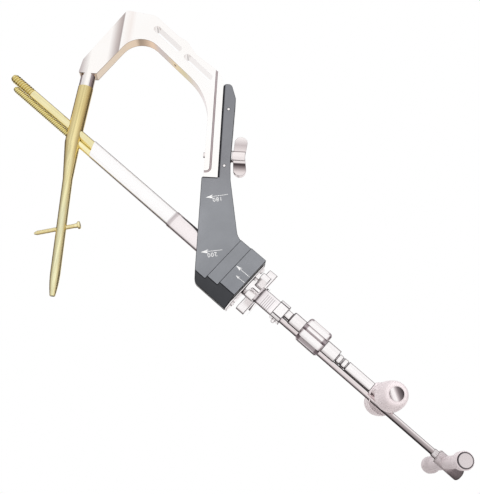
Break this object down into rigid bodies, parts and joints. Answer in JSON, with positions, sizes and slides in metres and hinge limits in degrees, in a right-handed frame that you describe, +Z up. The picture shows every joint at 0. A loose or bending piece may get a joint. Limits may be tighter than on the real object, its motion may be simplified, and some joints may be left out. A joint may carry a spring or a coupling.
{
  "type": "nail aiming frame",
  "caption": "C-shaped aiming frame that carries a bent nail and guides its slanted screws through a sleeve, with two T-handled drivers in line.",
  "frame": {"origin": "centre of the nail's lower end", "axes": "+Z up the nail's lower shaft, +X towards the aiming arm, the frame's plane is XZ"},
  "size_m": [0.4925, 0.1244, 0.499],
  "materials": {
    "implant": "gold anodised titanium, satin",
    "polished": "polished stainless steel",
    "bright": "turned stainless steel",
    "arm": "dark hard anodised, fine matt",
    "sleeve": "drawn stainless steel",
    "satin": "satin stainless steel",
    "dark_steel": "darkened steel",
    "driver": "turned steel with fine lathe marks",
    "warm_satin": "bead-blasted stainless steel",
    "rod": "ground steel rod"
  },
  "bodies": {
    "frame": {"nail": "implant", "nail_bolt": "bright", "handle": "polished", "aiming_arm": "arm", "arm_dowels": "bright", "arm_pins": "bright", "wing_washer": "bright", "guide_bush": "bright", "end_plate": "bright", "plate_screws": "bright"},
    "sleeve": {"guide_sleeve": "sleeve", "graduated_tube": "sleeve", "sleeve_collar": "satin", "collar_screw": "dark_steel"},
    "star": {"star_wheel": "satin"},
    "lag": {"lag_screw": "implant", "lag_shaft": "driver", "fluted_knob": "satin", "grooved_rings": "driver", "lag_hub": "warm_satin", "lag_grip": "warm_satin", "lag_grip_caps": "bright"},
    "compression": {"compression_screw": "implant", "compression_shaft": "rod", "compression_ferrule": "bright", "compression_hub": "dark_steel", "compression_grip": "driver", "compression_grip_caps": "bright"},
    "wing": {"wing_screw": "polished"},
    "locking": {"distal_screw": "implant"}
  },
  "joints": [
    {"name": "sleeve_slide", "type": "slide", "parent": "frame", "child": "sleeve", "axis": [0.7788, 0, -0.6273], "range_m": [0, 0.005]},
    {"name": "star_turn", "type": "hinge", "parent": "sleeve", "child": "star", "pos_m": [0.20591, 0, 0.01795], "axis": [0.7788, 0, -0.6273], "continuous": true},
    {"name": "compression_turn", "type": "hinge", "parent": "frame", "child": "compression", "pos_m": [0.38576, 0, -0.13339], "axis": [0.7788, 0, -0.6273], "range_deg": [0, 1440]},
    {"name": "lag_slide", "type": "slide", "parent": "frame", "child": "lag", "axis": [0.7788, 0, -0.6273], "range_m": [0, 0.00965]},
    {"name": "wing_turn", "type": "hinge", "parent": "frame", "child": "wing", "pos_m": [0.18, 0, 0.16676], "axis": [1, 0, 0], "continuous": true},
    {"name": "locking_turn", "type": "hinge", "parent": "frame", "child": "locking", "pos_m": [0, 0, 0.0732], "axis": [0.9659, 0, 0.2588], "continuous": true}
  ],
  "couplings": [
    {"joint": "lag_slide", "follows": "compression_turn", "m_per_rad": 0.00038197}
  ]
}
